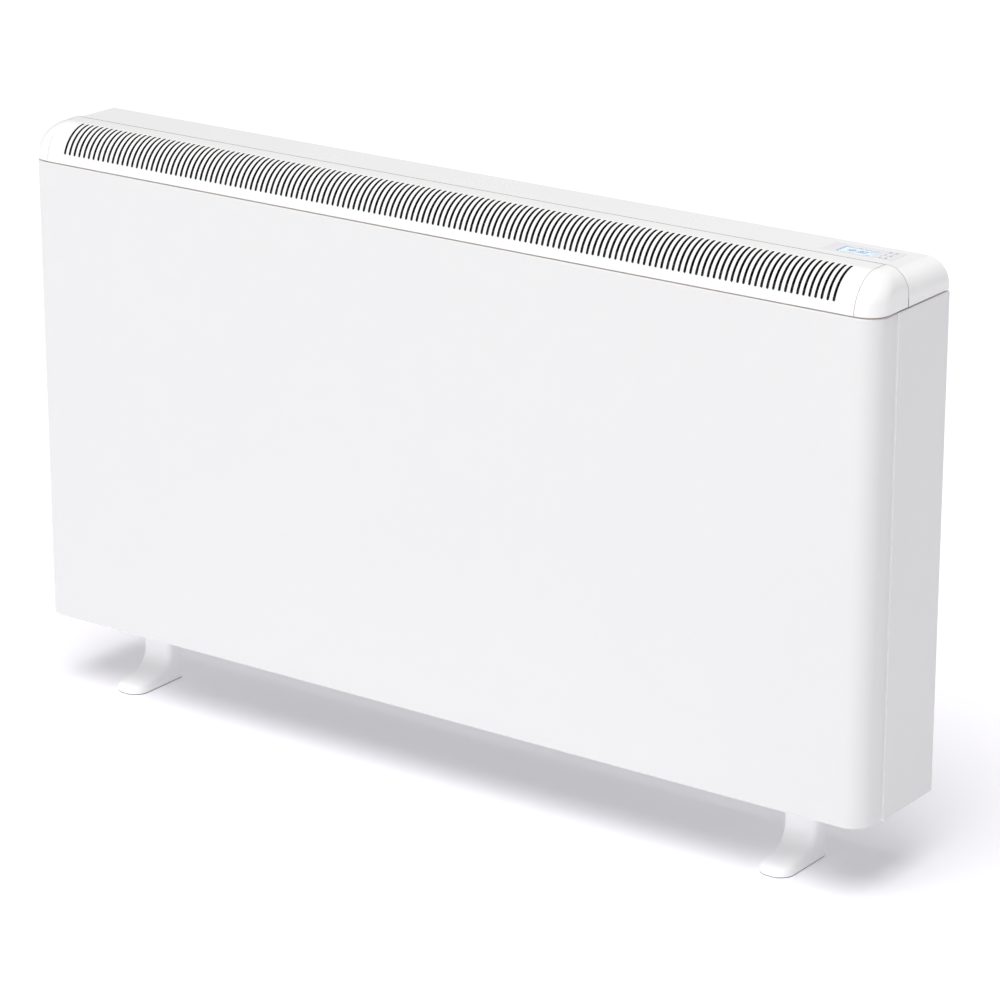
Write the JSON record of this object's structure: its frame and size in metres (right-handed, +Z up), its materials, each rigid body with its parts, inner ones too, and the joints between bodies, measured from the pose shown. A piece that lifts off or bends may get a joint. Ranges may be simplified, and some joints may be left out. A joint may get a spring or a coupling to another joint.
{
  "type": "storage heater",
  "caption": "Slim floor-standing storage heater: painted steel case, quarter-round slotted air grille on top, sloping cover with display and keys, brick core inside, two swept feet.",
  "frame": {"origin": "on the floor, under the middle of the overall box", "axes": "+Z up, the front faces -Y, +X to the right of someone facing the heater"},
  "size_m": [1.185, 0.15, 0.709],
  "materials": {
    "painted_steel": "satin",
    "gloss_white": "gloss",
    "foot_white": "satin",
    "fascia_lilac": "gloss",
    "lens_clear": "polished",
    "display_blue": "gloss",
    "key_grey": "matte",
    "black_plastic": "matte",
    "ivory_plastic": "matte",
    "red_plastic": "matte",
    "board_green": "satin",
    "galvanised": "satin",
    "screw_zinc": "satin",
    "sheath": "matte",
    "copper_alloy": "satin",
    "brick": "matte",
    "insulation": "matte",
    "rubber_grey": "matte",
    "wire_sleeve": "satin"
  },
  "bodies": {
    "case": {"front_panel": "painted_steel", "side_panel_left": "painted_steel", "side_panel_right": "painted_steel", "rear_panel": "galvanised", "base_pan": "galvanised", "air_grille": "gloss_white", "end_cap_left": "gloss_white", "end_cap_right": "gloss_white", "top_cover": "gloss_white", "control_fascia": "fascia_lilac", "display_lens": "lens_clear", "display_module": "display_blue", "control_board": "board_green", "key_switches": "black_plastic", "board_screws": "screw_zinc", "foot_left": "foot_white", "foot_right": "foot_white", "foot_soles": "rubber_grey", "foot_screws": "screw_zinc", "case_screws": "screw_zinc", "core_bricks_1": "brick", "core_bricks_2": "brick", "core_bricks_3": "brick", "core_bricks_4": "brick", "heating_element_1": "sheath", "heating_element_2": "sheath", "heating_element_3": "sheath", "heating_element_4": "sheath", "element_links": "copper_alloy", "insulation_front": "insulation", "insulation_rear": "insulation", "insulation_top": "insulation", "insulation_bottom": "insulation", "insulation_left": "insulation", "insulation_right": "insulation", "core_tray": "galvanised", "core_lid": "galvanised", "heat_shield": "galvanised", "partition_left": "galvanised", "partition_right": "galvanised", "booster_element": "sheath", "booster_brackets": "galvanised", "power_board": "board_green", "board_pillars": "ivory_plastic", "terminal_block": "ivory_plastic", "terminal_screws": "copper_alloy", "thermal_cutout": "ivory_plastic", "core_probe": "sheath", "room_sensor": "ivory_plastic", "cable_gland": "black_plastic", "gland_nut": "black_plastic", "wiring_loom": "wire_sleeve"},
    "key_1": {"key_1": "key_grey"},
    "key_2": {"key_2": "key_grey"},
    "key_3": {"key_3": "key_grey"},
    "key_4": {"key_4": "key_grey"},
    "key_5": {"key_5": "key_grey"},
    "key_6": {"key_6": "key_grey"},
    "reset_pin": {"reset_pin": "red_plastic"}
  },
  "joints": [
    {"name": "key_1_press", "type": "slide", "parent": "case", "child": "key_1", "axis": [0, -0.0119, -0.9999], "range_m": [0, 0.0007], "stiffness_N_per_m": 1500},
    {"name": "key_2_press", "type": "slide", "parent": "case", "child": "key_2", "axis": [0, -0.0119, -0.9999], "range_m": [0, 0.0007], "stiffness_N_per_m": 1500},
    {"name": "key_3_press", "type": "slide", "parent": "case", "child": "key_3", "axis": [0, -0.0119, -0.9999], "range_m": [0, 0.0007], "stiffness_N_per_m": 1500},
    {"name": "key_4_press", "type": "slide", "parent": "case", "child": "key_4", "axis": [0, -0.0119, -0.9999], "range_m": [0, 0.0007], "stiffness_N_per_m": 1500},
    {"name": "key_5_press", "type": "slide", "parent": "case", "child": "key_5", "axis": [0, -0.0119, -0.9999], "range_m": [0, 0.0007], "stiffness_N_per_m": 1500},
    {"name": "key_6_press", "type": "slide", "parent": "case", "child": "key_6", "axis": [0, -0.0119, -0.9999], "range_m": [0, 0.0007], "stiffness_N_per_m": 1500},
    {"name": "reset_press", "type": "slide", "parent": "case", "child": "reset_pin", "axis": [-1, 0, 0], "range_m": [0, 0.0015], "stiffness_N_per_m": 900}
  ]
}
